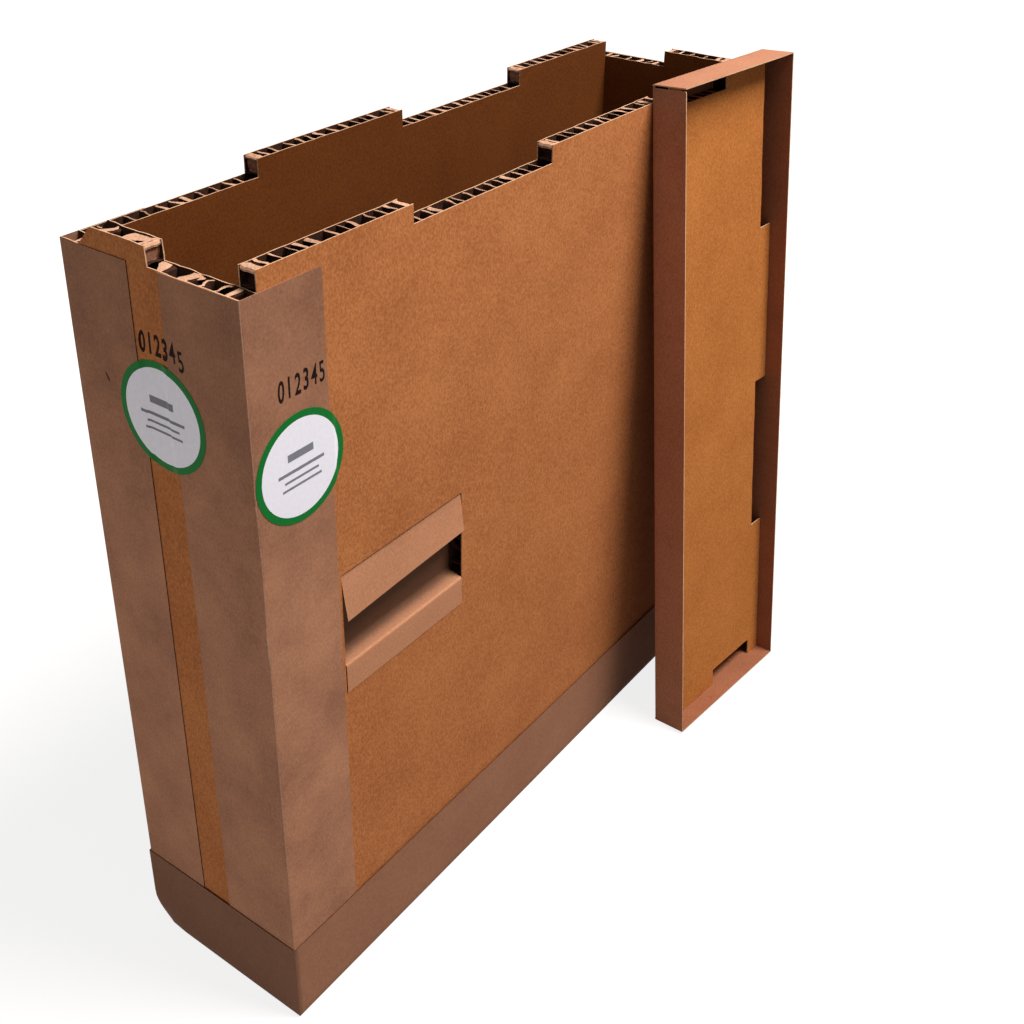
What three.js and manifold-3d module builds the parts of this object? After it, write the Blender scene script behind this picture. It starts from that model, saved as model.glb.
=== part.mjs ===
// A tall reusable shipping crate of honeycomb paper board, with its lid taken off.
// Four walls stand on a board floor in a folded base tray. Sheets of kraft are folded
// round the upright corners. The rim of each wall is stepped, and the raised stretches
// fit the notches of the board in the lid. The lid leans on the front wall.
// Millimetres. X runs along the crate, Y across it and Z up, from the middle of its foot.

import * as THREE from 'three';
import { mergeVertices } from 'three/addons/utils/BufferGeometryUtils.js';
import Module from 'manifold-3d';

const wasm = await Module();
wasm.setup();

// Whole crate, over the corner wraps.
const CRATE_LENGTH = 836;
const CRATE_WIDTH = 214;
const RIM_HEIGHT = 800;

// Honeycomb board: a core of open cells between two facing sheets.
const BOARD = 19;
const FACING = 1;
const CELL_PITCH = 15.5;
const CELL_WEB = 1.4;
const CELL_DEPTH = 8;
const CRUSHED_DEPTH = 2.5;

// Stepped rim: what stands above RIM_HEIGHT.
const TAB_HEIGHT = 18.5;
const MIDDLE_TAB_START = -1;
const MIDDLE_TAB_LENGTH = 209;
const LOW_STRETCH = 211;
const END_TAB_START = -1.5;
const END_TAB_LENGTH = 84;
const TORN_SLOPE = 17;

// Sheets folded round the upright corners.
const WRAP_SHEET = 1;
const WRAP_SIDE_WIDTH = 90;
const WRAP_RIGHT_WIDTH = 92;
const WRAP_LEFT_WIDTH = 84;

// Folded trays at the foot and on the lid.
const TRAY_SHEET = 1.5;
const BASE_DEPTH = 97;
const LID_DEPTH = 44;
const LID_PLAY = 1.5;
const LID_CORNER_SLIT = 1;
const NOTCH_PLAY = 2;
const SEAT_GAP = 0.3;

// Hand hold, cut in from the outer face down to the inner facing sheet.
const HOLD_FROM_WALL_END = 74;
const HOLD_LENGTH = 177;
const HOLD_BOTTOM = 358;
const HOLD_TOP = 494;
const HOLD_LEDGE = 390;
const LEDGE_RISE = 4;
const LIP_RADIUS = 3;
const FLAP_END = 447;
const FLAP_TILT_DEPTH = 5;
const HOLD_SHEET = 1;
const HOLD_SIDE_PLAY = 0.8;

// How the lid stands: its lower edge on the floor, its left edge on the front wall's tab.
const LID_LEAN = THREE.MathUtils.degToRad(4.6);
const LID_YAW = THREE.MathUtils.degToRad(5);
const LID_FROM_FAR_END = 237;

const FOLD_STEPS = 3;
const OVERCUT = 1;

const boardLength = CRATE_LENGTH - 2 * WRAP_SHEET;
const boardWidth = CRATE_WIDTH - 2 * WRAP_SHEET;
const innerLength = boardLength - 2 * BOARD;
const innerWidth = boardWidth - 2 * BOARD;
const wallFoot = TRAY_SHEET + BOARD;

// Solids.

function solid(geometry) {
  const bare = geometry.clone();
  bare.deleteAttribute('normal');
  bare.deleteAttribute('uv');
  const merged = mergeVertices(bare, 1e-4);
  return new wasm.Manifold(new wasm.Mesh({
    numProp: 3,
    vertProperties: Float32Array.from(merged.attributes.position.array),
    triVerts: Uint32Array.from(merged.index.array),
  }));
}

function geometryOf(manifold) {
  const mesh = manifold.getMesh();
  const geometry = new THREE.BufferGeometry();
  geometry.setAttribute('position', new THREE.BufferAttribute(mesh.vertProperties, 3));
  geometry.setIndex(new THREE.BufferAttribute(mesh.triVerts, 1));
  geometry.computeVertexNormals();
  return geometry;
}

function shapeOf(points) {
  return new THREE.Shape(points.map(([a, b]) => new THREE.Vector2(a, b)));
}

// An outline in X and Y, standing from one height to another.
function column(shape, bottom, top) {
  const settings = { depth: top - bottom, bevelEnabled: false, curveSegments: FOLD_STEPS };
  return new THREE.ExtrudeGeometry(shape, settings).translate(0, 0, bottom);
}

// An outline in X and Z, as thick as the stretch from one Y to the other.
function panel(shape, near, far) {
  const settings = { depth: far - near, bevelEnabled: false, curveSegments: FOLD_STEPS };
  return new THREE.ExtrudeGeometry(shape, settings).rotateX(Math.PI / 2).translate(0, far, 0);
}

function block([x0, y0, z0], [x1, y1, z1]) {
  const box = new THREE.BoxGeometry(x1 - x0, y1 - y0, z1 - z0);
  return solid(box.translate((x0 + x1) / 2, (y0 + y1) / 2, (z0 + z1) / 2));
}

// Honeycomb board.

// A repeatable unevenness between 0 and 1.
function uneven(index) {
  const value = Math.sin(index * 12.9898 + 4.1) * 437.585;
  return value - Math.floor(value);
}

// The cells that a cut along a straight edge lays open, as outlines in the board's plane.
// The board lies on the right of the way from start to end.
function openCells(start, end, depth) {
  const from = new THREE.Vector2(...start);
  const along = new THREE.Vector2(...end).sub(from);
  const length = along.length();
  along.normalize();
  const inward = new THREE.Vector2(along.y, -along.x);
  const count = Math.max(1, Math.floor(length / CELL_PITCH));
  const pitch = Math.min(CELL_PITCH, length);
  const margin = (length - count * pitch) / 2;
  const half = (pitch - CELL_WEB) / 2;
  const cells = [];
  for (let i = 0; i < count; i += 1) {
    const middle = margin + (i + 0.5) * pitch;
    const deep = depth * (0.7 + 0.6 * uneven(i + length));
    const lean = (uneven(i + 2 * length) - 0.5) * CELL_WEB;
    const profile = [
      [-half, -OVERCUT],
      [half, -OVERCUT],
      [half + lean / 4, deep],
      [lean, deep + pitch / 4],
      [-half + lean / 4, deep],
    ];
    cells.push(profile.map(([s, d]) => [
      from.x + along.x * (middle + s) + inward.x * d,
      from.y + along.y * (middle + s) + inward.y * d,
    ]));
  }
  return cells;
}

function cutCells(board, cells, near, far, standing) {
  const form = standing ? panel : column;
  const pockets = cells.map((cell) => solid(form(shapeOf(cell), near, far)));
  return board.subtract(wasm.Manifold.union(pockets));
}

// Pairs of neighbouring points of a path.
function edgesOf(path) {
  return path.slice(1).map((point, i) => [path[i], point]);
}

// A standing wall with its outer face at Y 0 and its inner face at Y BOARD. The rim is a
// path from its left end to its right end.
function wall(rim, crushedEdge = -1) {
  const left = rim[0][0];
  const right = rim[rim.length - 1][0];
  const outline = [[left, wallFoot], [right, wallFoot], ...[...rim].reverse()];
  const cells = edgesOf(rim).flatMap(([start, end], i) => (
    openCells(start, end, i === crushedEdge ? CRUSHED_DEPTH : CELL_DEPTH)
  ));
  const board = solid(panel(shapeOf(outline), 0, BOARD));
  return cutCells(board, cells, FACING, BOARD - FACING, true);
}

// Walls.

const low = RIM_HEIGHT;
const high = RIM_HEIGHT + TAB_HEIGHT;
const middleTab = [MIDDLE_TAB_START, MIDDLE_TAB_START + MIDDLE_TAB_LENGTH];
const cornerTab = [-innerLength / 2, MIDDLE_TAB_START - LOW_STRETCH];
const endTab = [END_TAB_START, END_TAB_START + END_TAB_LENGTH];

const longRim = [
  [cornerTab[0], high],
  [cornerTab[1], high],
  [cornerTab[1], low],
  [middleTab[0], low],
  [middleTab[0], high],
  [middleTab[1], high],
  [middleTab[1], low],
  [innerLength / 2, low],
];

const hold = {
  left: -innerLength / 2 + HOLD_FROM_WALL_END,
  right: -innerLength / 2 + HOLD_FROM_WALL_END + HOLD_LENGTH,
  back: BOARD - FACING,
};

function longWall() {
  const pocket = block(
    [hold.left, -OVERCUT, HOLD_BOTTOM],
    [hold.right, hold.back, HOLD_TOP],
  );
  const sideCells = [
    ...openCells([hold.left, HOLD_BOTTOM], [hold.left, HOLD_TOP], CELL_DEPTH)
      .map((cell) => cell.map(([x, z]) => [2 * hold.left - x, z])),
    ...openCells([hold.right, HOLD_BOTTOM], [hold.right, HOLD_TOP], CELL_DEPTH),
  ];
  return cutCells(wall(longRim).subtract(pocket), sideCells, FACING, hold.back, true);
}

// The short wall's own X runs from the crate's left wall to its right wall, seen from
// outside, so the crate's Y is its X turned round.
function endWall(tornSlope) {
  return wall([
    [-boardWidth / 2, low],
    [-endTab[1], low],
    [-endTab[1] + tornSlope, high],
    [-endTab[0], high],
    [-endTab[0], low],
    [boardWidth / 2, low],
  ], tornSlope > 0 ? 2 : -1);
}

// Folded sheets.

// A sheet bent along a path, its thickness on the right of the way.
function bentStrip(path, sheet) {
  const points = path.map(([a, b]) => new THREE.Vector2(a, b));
  const rightOf = (a, b) => {
    const way = b.clone().sub(a).normalize();
    return new THREE.Vector2(way.y, -way.x);
  };
  const other = points.map((point, i) => {
    const before = i > 0 ? rightOf(points[i - 1], point) : rightOf(point, points[i + 1]);
    const after = i < points.length - 1 ? rightOf(point, points[i + 1]) : before;
    const mitre = before.clone().add(after).normalize();
    return point.clone().addScaledVector(mitre, sheet / mitre.dot(before));
  });
  return new THREE.Shape([...points, ...other.reverse()]);
}

// The hand hold's sheet: front flap, top, back, ledge, rounded lip and lower face.
function handHoldSheet() {
  const foot = HOLD_LEDGE - HOLD_SHEET;
  const path = [
    [FLAP_TILT_DEPTH, FLAP_END],
    [0, HOLD_TOP],
    [hold.back, HOLD_TOP],
    [hold.back, foot + LEDGE_RISE],
    [HOLD_SHEET + LIP_RADIUS, foot],
    [HOLD_SHEET + LIP_RADIUS * 0.3, foot - LIP_RADIUS * 0.3],
    [HOLD_SHEET, foot - LIP_RADIUS],
    [HOLD_SHEET, HOLD_BOTTOM],
  ];
  const length = HOLD_LENGTH - 2 * HOLD_SIDE_PLAY;
  const settings = { depth: length, bevelEnabled: false };
  const strip = new THREE.ExtrudeGeometry(bentStrip(path, HOLD_SHEET), settings);
  const toWall = new THREE.Matrix4().makeBasis(
    new THREE.Vector3(0, 1, 0),
    new THREE.Vector3(0, 0, 1),
    new THREE.Vector3(1, 0, 0),
  );
  return solid(strip.applyMatrix4(toWall).translate(hold.left + HOLD_SIDE_PLAY, 0, 0));
}

// A rectangle about the middle, its corners rounded by a fold.
function foldedOutline(length, width, radius) {
  const x = length / 2;
  const y = width / 2;
  const shape = new THREE.Shape();
  shape.absarc(x - radius, y - radius, radius, 0, Math.PI / 2);
  shape.absarc(-x + radius, y - radius, radius, Math.PI / 2, Math.PI);
  shape.absarc(-x + radius, -y + radius, radius, Math.PI, 1.5 * Math.PI);
  shape.absarc(x - radius, -y + radius, radius, 1.5 * Math.PI, 2 * Math.PI);
  return shape;
}

// A tray folded from one sheet round a given inside, open at its top.
function tray(insideLength, insideWidth, depth) {
  const outline = foldedOutline(
    insideLength + 2 * TRAY_SHEET,
    insideWidth + 2 * TRAY_SHEET,
    TRAY_SHEET,
  );
  const inside = block(
    [-insideLength / 2, -insideWidth / 2, TRAY_SHEET],
    [insideLength / 2, insideWidth / 2, depth + OVERCUT],
  );
  return solid(column(outline, 0, depth)).subtract(inside);
}

// A sheet folded round one upright corner, which stands at X 0, Y 0 and bends towards
// plus X and plus Y.
function cornerWrap(legX, legY) {
  const shape = new THREE.Shape();
  shape.moveTo(legX, 0);
  shape.lineTo(legX, WRAP_SHEET);
  shape.lineTo(WRAP_SHEET, WRAP_SHEET);
  shape.lineTo(WRAP_SHEET, legY);
  shape.lineTo(0, legY);
  shape.lineTo(0, WRAP_SHEET);
  shape.absarc(WRAP_SHEET, WRAP_SHEET, WRAP_SHEET, Math.PI, 1.5 * Math.PI);
  shape.lineTo(legX, 0);
  return column(shape, TRAY_SHEET, RIM_HEIGHT);
}

// Lid.

// The lid is drawn upside down, as a tray with its board on the bottom. Its Y is the
// crate's Y turned round, as it is when the lid is tipped over its long side.
const lidInsideLength = CRATE_LENGTH + 2 * LID_PLAY;
const lidInsideWidth = CRATE_WIDTH + 2 * LID_PLAY;

function lidTray() {
  let folded = tray(lidInsideLength, lidInsideWidth, LID_DEPTH);
  const x = lidInsideLength / 2;
  const y = lidInsideWidth / 2;
  for (const [sx, sy] of [[1, 1], [1, -1], [-1, 1], [-1, -1]]) {
    const a = [sx * x, sy * y, TRAY_SHEET];
    const b = [sx * (x + 2 * TRAY_SHEET), sy * (y - LID_CORNER_SLIT), LID_DEPTH + OVERCUT];
    folded = folded.subtract(block(
      [Math.min(a[0], b[0]), Math.min(a[1], b[1]), a[2]],
      [Math.max(a[0], b[0]), Math.max(a[1], b[1]), b[2]],
    ));
  }
  return folded;
}

// The notches take the raised stretches of all four walls. Half of them are drawn, and
// the other half is the same turned by half a turn.
function lidBoard() {
  const x = lidInsideLength / 2 - SEAT_GAP;
  const y = lidInsideWidth / 2 - SEAT_GAP;
  const sideDepth = innerWidth / 2 - NOTCH_PLAY;
  const endDepth = innerLength / 2 - NOTCH_PLAY;
  const half = [
    [-x, y],
    [cornerTab[0] - NOTCH_PLAY, y],
    [cornerTab[0] - NOTCH_PLAY, sideDepth],
    [cornerTab[1] + NOTCH_PLAY, sideDepth],
    [cornerTab[1] + NOTCH_PLAY, y],
    [middleTab[0] - NOTCH_PLAY, y],
    [middleTab[0] - NOTCH_PLAY, sideDepth],
    [middleTab[1] + NOTCH_PLAY, sideDepth],
    [middleTab[1] + NOTCH_PLAY, y],
    [x, y],
    [x, endTab[1] + NOTCH_PLAY],
    [endDepth, endTab[1] + NOTCH_PLAY],
    [endDepth, endTab[0] - NOTCH_PLAY],
    [x, endTab[0] - NOTCH_PLAY],
  ];
  const outline = [...half, ...half.map(([a, b]) => [-a, -b])];
  const isCut = ([a, b]) => {
    const onSide = Math.abs(a[1]) === y && Math.abs(b[1]) === y;
    const onEnd = Math.abs(a[0]) === x && Math.abs(b[0]) === x;
    return !onSide && !onEnd;
  };
  const cells = edgesOf([...outline, outline[0]]).filter(isCut)
    .flatMap(([start, end]) => openCells(start, end, CELL_DEPTH));
  const bottom = TRAY_SHEET + SEAT_GAP;
  const board = solid(column(shapeOf([...outline].reverse()), bottom, bottom + BOARD));
  return cutCells(board, cells, bottom + FACING, bottom + BOARD - FACING, false);
}

// Assembly.

const boardLook = { color: 0xa0693c, roughness: 0.92, metalness: 0 };
const kraftLook = { color: 0xa67a5c, roughness: 0.85, metalness: 0 };

function named(name, geometry, look) {
  const mesh = new THREE.Mesh(geometry, new THREE.MeshStandardMaterial(look));
  mesh.name = name;
  return mesh;
}

const crate = new THREE.Group();

const baseTray = tray(CRATE_LENGTH, CRATE_WIDTH, BASE_DEPTH);
crate.add(named('base_tray', geometryOf(baseTray), kraftLook));

const floor = block(
  [-boardLength / 2, -boardWidth / 2, TRAY_SHEET],
  [boardLength / 2, boardWidth / 2, wallFoot],
);
crate.add(named('base_board', geometryOf(floor), boardLook));

const longWallGeometry = geometryOf(longWall());
const holdGeometry = geometryOf(handHoldSheet());
for (const [side, turn] of [['front', 0], ['back', Math.PI]]) {
  const pair = new THREE.Group();
  const facing = new THREE.Group();
  facing.position.y = -boardWidth / 2;
  facing.add(named(`${side}_wall`, longWallGeometry, boardLook));
  facing.add(named(`${side}_hand_hold_liner`, holdGeometry, kraftLook));
  pair.add(facing);
  pair.rotation.z = turn;
  crate.add(pair);
}

for (const [place, turn, slope] of [['near', 0, TORN_SLOPE], ['far', Math.PI, 0]]) {
  const pair = new THREE.Group();
  const mesh = named(`${place}_end_wall`, geometryOf(endWall(slope)), boardLook);
  mesh.rotation.z = -Math.PI / 2;
  mesh.position.x = -boardLength / 2;
  pair.add(mesh);
  pair.rotation.z = turn;
  crate.add(pair);
}

for (const [place, turn] of [['near', 0], ['far', Math.PI]]) {
  const pair = new THREE.Group();
  const right = named(
    `corner_wrap_${place}_${turn ? 'back' : 'front'}`,
    cornerWrap(WRAP_SIDE_WIDTH, WRAP_RIGHT_WIDTH),
    kraftLook,
  );
  right.position.set(-CRATE_LENGTH / 2, -CRATE_WIDTH / 2, 0);
  const left = named(
    `corner_wrap_${place}_${turn ? 'front' : 'back'}`,
    cornerWrap(WRAP_LEFT_WIDTH, WRAP_SIDE_WIDTH),
    kraftLook,
  );
  left.rotation.z = -Math.PI / 2;
  left.position.set(-CRATE_LENGTH / 2, CRATE_WIDTH / 2, 0);
  pair.add(right, left);
  pair.rotation.z = turn;
  crate.add(pair);
}

// The lid stands on its far end, with its open side to the front. Its lower left edge is
// brought to the origin first, and then it is turned about that point.
const lid = new THREE.Group();
lid.add(named('lid_tray', geometryOf(lidTray()), kraftLook));
lid.add(named('lid_board', geometryOf(lidBoard()), boardLook));
lid.quaternion.setFromRotationMatrix(new THREE.Matrix4().makeBasis(
  new THREE.Vector3(0, 0, -1),
  new THREE.Vector3(1, 0, 0),
  new THREE.Vector3(0, -1, 0),
));
lid.position.set(lidInsideWidth / 2 + TRAY_SHEET, 0, lidInsideLength / 2 + TRAY_SHEET);

const leaning = new THREE.Group();
leaning.add(lid);
leaning.rotation.set(-LID_LEAN, 0, -LID_YAW, 'ZXY');
// It touches the front wall at the top of the tab, or at its own top if it is shorter.
const lidTop = (lidInsideLength + 2 * TRAY_SHEET) * Math.cos(LID_LEAN);
const reach = Math.min(high, lidTop) * Math.tan(LID_LEAN) * Math.cos(LID_YAW);
leaning.position.set(
  CRATE_LENGTH / 2 - LID_FROM_FAR_END,
  -boardWidth / 2 - SEAT_GAP - reach,
  0,
);

const object = new THREE.Group();
object.add(crate, leaning);

export default object;
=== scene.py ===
# %% [markdown]
# A tall shipping crate of honeycomb paper board stands with its lid leaning on one side.
# Everything here is paper, so the looks come from three things: thin sheets with pale cut
# edges, the open cells of the board's core along every cut, and kraft that is never quite
# one colour. The measured solids of the crate are loaded first, and each visible sheet is
# then made at the place of the solid that it stands for.

import math
import random
from collections import namedtuple

import bmesh
import bpy
from mathutils import Matrix, Vector, noise


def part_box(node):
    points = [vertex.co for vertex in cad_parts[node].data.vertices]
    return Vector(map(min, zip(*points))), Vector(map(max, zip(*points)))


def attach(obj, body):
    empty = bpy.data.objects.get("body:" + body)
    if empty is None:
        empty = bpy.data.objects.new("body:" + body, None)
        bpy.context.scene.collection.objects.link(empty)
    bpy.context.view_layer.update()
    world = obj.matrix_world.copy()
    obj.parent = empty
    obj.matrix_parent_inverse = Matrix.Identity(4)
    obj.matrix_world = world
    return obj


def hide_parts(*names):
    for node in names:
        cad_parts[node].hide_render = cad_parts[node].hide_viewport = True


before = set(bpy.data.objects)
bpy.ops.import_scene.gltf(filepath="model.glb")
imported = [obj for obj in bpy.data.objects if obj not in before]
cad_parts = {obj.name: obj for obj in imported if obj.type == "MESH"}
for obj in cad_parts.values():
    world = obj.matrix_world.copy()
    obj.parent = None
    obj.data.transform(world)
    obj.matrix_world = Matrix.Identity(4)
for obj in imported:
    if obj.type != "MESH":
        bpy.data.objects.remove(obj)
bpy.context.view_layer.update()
MM = 0.001

# %% [markdown]
# Each board is easiest to think of flat: so far along it, so far up it, and so deep into
# it. A side holds those three directions. The lid leans and is turned a little, so its
# directions come from its lean and its turn.

# %% Directions of each board
Side = namedtuple("Side", "along up inward")
X, Y, UP = Vector((1, 0, 0)), Vector((0, 1, 0)), Vector((0, 0, 1))
LID_LEAN = math.radians(4.6)
LID_YAW = math.radians(5.0)
lid_turn = Matrix.Rotation(-LID_YAW, 3, "Z") @ Matrix.Rotation(-LID_LEAN, 3, "X")
SIDES = {
    "front_wall": Side(X, UP, Y),
    "back_wall": Side(-X, UP, -Y),
    "near_end_wall": Side(-Y, UP, X),
    "far_end_wall": Side(Y, UP, -X),
    "lid_board": Side(lid_turn @ X, lid_turn @ UP, lid_turn @ -Y),
}
LID = SIDES["lid_board"]


def point(side, along, up, inward):
    return side.along * along + side.up * up + side.inward * inward


def extent(node, direction):
    reach = [v.co.dot(direction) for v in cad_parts[node].data.vertices]
    return min(reach), max(reach)


tray_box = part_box("base_tray")
print("lid leans", round(math.degrees(LID_LEAN), 1), "and turns", round(math.degrees(LID_YAW), 1))

# %% [markdown]
# Paper board that has been handled is never quite flat. One small field of dents moves
# every point of the crate the same way, so that a sheet and the board under it stay
# together. At the foot of the near end's back corner the board is crushed, halfway up the
# corner nearest to us it has soft slanting buckles, and everywhere it bows a little.

# %% Dents, buckles and bows
CRUSHED_FOOT = Vector((tray_box[0][0], tray_box[1][1], 0.0))
CRUSH_REACH = 34 * MM
CRUSH_DEPTH = 9 * MM
CRUSH_WAY = Vector((0.55, -0.55, 0.6))
BUCKLE_MIDDLE = Vector((tray_box[0][0], tray_box[0][1], 0.5))
BUCKLE_REACH = 95 * MM
BUCKLE_DEPTH = 1.6 * MM
BUCKLE_SLANT = 0.9
BUCKLE_WIDTH = 21 * MM
BOW_DEPTH = 0.5 * MM
BOWS_PER_METRE = 5.0
SIDEWAYS_SHARE = 0.5


def dented(p):
    """Where a point of the crate lies once its paper has been knocked about."""
    q = Vector(p)
    away = (q - CRUSHED_FOOT).length
    if away < CRUSH_REACH:
        q += CRUSH_WAY * (CRUSH_DEPTH * (1 - away / CRUSH_REACH) ** 1.5)
    near = (q - BUCKLE_MIDDLE).length
    if near < BUCKLE_REACH * 1.6:
        fade = math.exp(-((near / BUCKLE_REACH) ** 2) * 2)
        slant = (q.z - BUCKLE_MIDDLE.z) + BUCKLE_SLANT * (q.y - BUCKLE_MIDDLE.y)
        wave = 0.5 - 0.5 * math.cos(slant / BUCKLE_WIDTH)
        q.x += BUCKLE_DEPTH * fade * wave
        q.y += SIDEWAYS_SHARE * BUCKLE_DEPTH * fade * wave
    bow = BOW_DEPTH * noise.noise(q * BOWS_PER_METRE)
    q.x += bow
    q.y += SIDEWAYS_SHARE * bow
    return q


def untouched(p):
    """For the lid, whose sheets stay flat."""
    return Vector(p)


print("crushed foot at", tuple(round(v, 3) for v in CRUSHED_FOOT))

# %% [markdown]
# Kraft paper is brown, but a flat brown looks like plastic. The colour here is mixed from
# two noises, one as broad as a hand and one as fine as the fibres, and the fibres also
# lift the surface a little. Board facing is orange and coarse, and the folded sheets are
# pinker and smoother.

# %% Colours and nodes of a finish
def wire(source, output, target, socket):
    source.id_data.links.new(source.outputs[output], target.inputs[socket])


def add_node(tree, kind, numbers=None, **settings):
    """Adds a shader node, sets how it works, and then the numbers on its sockets."""
    node = tree.nodes.new(kind)
    for key, value in settings.items():
        setattr(node, key, value)
    for socket, value in (numbers or {}).items():
        node.inputs[socket].default_value = value
    return node


def new_finish(name, rough, gloss):
    """An empty finish: its material, its node tree and its shader."""
    material = bpy.data.materials.new(name)
    material.use_nodes = True
    shader = material.node_tree.nodes["Principled BSDF"]
    shader.inputs["Roughness"].default_value = rough
    shader.inputs["Specular IOR Level"].default_value = gloss
    return material, material.node_tree, shader


def srgb(red, green, blue):
    """Turns a colour as a screen shows it, 0 to 255, into the linear one of a shader."""
    return tuple(((c / 255 + 0.055) / 1.055) ** 2.4 for c in (red, green, blue))


print("middle grey:", round(srgb(128, 128, 128)[0], 3))

# %% Paper finishes
PAPER_GLOSS = 0.12
FIBRE_SCALE = 450.0
FIBRE_STRETCH = (1.0, 1.0, 0.75)
FIBRE_LIFT = 0.4 * MM
FIBRE_BUMP = 0.25
DARK_AT, PALE_AT = 0.38, 0.62


def paper(name, pale, dark, rough, coarse, fine=0.62, cloud_scale=9.0):
    """A kraft between two colours. fine is the share of the fibres in its speckle."""
    material, tree, shader = new_finish(name, rough, PAPER_GLOSS)
    where = add_node(tree, "ShaderNodeTexCoord")
    clouds = add_node(tree, "ShaderNodeTexNoise", {
        "Scale": cloud_scale, "Detail": 6.0, "Roughness": 0.62})
    stretch = add_node(tree, "ShaderNodeMapping", {"Scale": FIBRE_STRETCH})
    fibres = add_node(tree, "ShaderNodeTexNoise", {
        "Scale": FIBRE_SCALE, "Detail": 3.0, "Roughness": 0.7})
    wire(where, "Object", clouds, "Vector")
    wire(where, "Object", stretch, "Vector")
    wire(stretch, "Vector", fibres, "Vector")
    both = add_node(tree, "ShaderNodeMix", {"Factor": fine}, data_type="FLOAT")
    wire(clouds, "Fac", both, "A")
    wire(fibres, "Fac", both, "B")
    ramp = add_node(tree, "ShaderNodeValToRGB")
    for stop, place, colour in zip(ramp.color_ramp.elements, (DARK_AT, PALE_AT), (dark, pale)):
        stop.position = place
        stop.color = (*srgb(*colour), 1)
    wire(both, "Result", ramp, "Fac")
    wire(ramp, "Color", shader, "Base Color")
    bump = add_node(tree, "ShaderNodeBump", {
        "Strength": FIBRE_BUMP * coarse, "Distance": FIBRE_LIFT})
    wire(fibres, "Fac", bump, "Height")
    wire(bump, "Normal", shader, "Normal")
    return material


def paint_shade_by_place(material, axis, start, end, share):
    """Paints shade into a finish: darkens it smoothly from a start to an end along one axis, both
    sides alike.
    """
    tree = material.node_tree
    shader = tree.nodes["Principled BSDF"]
    colour = shader.inputs["Base Color"].links[0].from_socket
    where = add_node(tree, "ShaderNodeTexCoord")
    split = add_node(tree, "ShaderNodeSeparateXYZ")
    size = add_node(tree, "ShaderNodeMath", operation="ABSOLUTE")
    wire(where, "Object", split, "Vector")
    wire(split, axis, size, 0)
    spread = add_node(tree, "ShaderNodeMapRange", {
        "From Min": start, "From Max": end, "To Min": 1.0, "To Max": share,
    }, interpolation_type="SMOOTHSTEP")
    wire(size, "Value", spread, "Value")
    dim = add_node(tree, "ShaderNodeVectorMath", operation="SCALE")
    tree.links.new(colour, dim.inputs[0])
    wire(spread, "Result", dim, "Scale")
    wire(dim, "Vector", shader, "Base Color")


facing_paper = paper("board_facing", (196, 124, 73), (160, 93, 51), 0.85, 1.3, 0.7)
lid_facing = paper("lid_facing", (198, 124, 62), (164, 94, 42), 0.85, 1.3, 0.7)
# The inside of the lid tray is a darker copy of its kraft: painted shade.
lid_painted_shade = paper("lid_painted_shade", (158, 100, 70), (134, 80, 54), 0.75, 0.5)
# The inner facing is painted shade: a dark brown for the shade inside the crate.
inside_painted_shade = paper("board_painted_shade", (108, 57, 18), (86, 41, 9), 0.88, 1.2, 0.7)
wrap_paper = paper("folded_kraft", (186, 130, 97), (148, 100, 76), 0.7, 0.5, 0.45, 15.0)
# Paler paper for the wraps' folds: partly rubbed kraft, partly a painted highlight.
wear_and_highlight_paper = paper("wear_and_highlight_kraft", (206, 158, 128), (176, 128, 100), 0.8, 0.6)
tray_paper = paper("base_kraft", (162, 112, 84), (142, 95, 70), 0.72, 0.5)
hold_paper = paper("hand_hold_kraft", (198, 138, 102), (178, 120, 86), 0.7, 0.4)
lid_paper = paper("lid_kraft", (182, 124, 93), (158, 101, 73), 0.72, 0.5)
cut_edge = paper("pale_cut_edge", (226, 184, 148), (190, 142, 106), 0.9, 0.8)
# Edges of glued sheets: dark glue, with painted shadow where the edge stands off the board.
glue_and_shadow_edge = paper("glued_and_shaded_edge", (92, 56, 36), (60, 34, 20), 0.9, 0.8)
web_paper = paper("cell_wall_tops", (214, 168, 136), (172, 124, 96), 0.9, 0.6)
# The insides of the cells are painted shade: dark paper for the shade deep in the open cells. The
# cell ends below are plain kraft.
cell_painted_shade = paper("painted_cell_shade", (70, 42, 30), (42, 24, 16), 0.95, 0.6)
cell_end_paper = paper("cell_ends", (168, 118, 92), (132, 88, 66), 0.95, 0.6)
# Painted shade: the folded kraft of the wraps darkens towards the top.
paint_shade_by_place(wrap_paper, "Z", 0.42, 0.82, 0.8)
# Painted shade in the hand holds: the ledge darkens just behind its lip, and the back of the hold
# is darker still.
paint_shade_by_place(hold_paper, "Y", 0.1060, 0.1035, 0.72)
paint_shade_by_place(hold_paper, "Y", 0.1040, 0.0888, 0.33)
# Painted shade: the base tray darkens on its two end faces.
paint_shade_by_place(tray_paper, "X", 0.412, 0.418, 0.62)
print("finishes:", len(bpy.data.materials))

# %% [markdown]
# Every piece goes the same way into the scene: its mesh becomes an object, it rides with
# the crate, it hides the solid that it stands for, and it takes its finishes. A
# Solidify modifier gives a thin sheet its thickness and its cut edges a material.

# %% Putting a piece into the scene
CRISP = math.radians(38)


def show(name, data):
    thing = bpy.data.objects.new(name, data)
    bpy.context.scene.collection.objects.link(thing)
    return thing


def add_piece(name, mesh, materials, node=None):
    piece = show(name, mesh)
    for material in materials:
        mesh.materials.append(material)
    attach(piece, "root")
    if node:
        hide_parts(node)
    return piece


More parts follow.
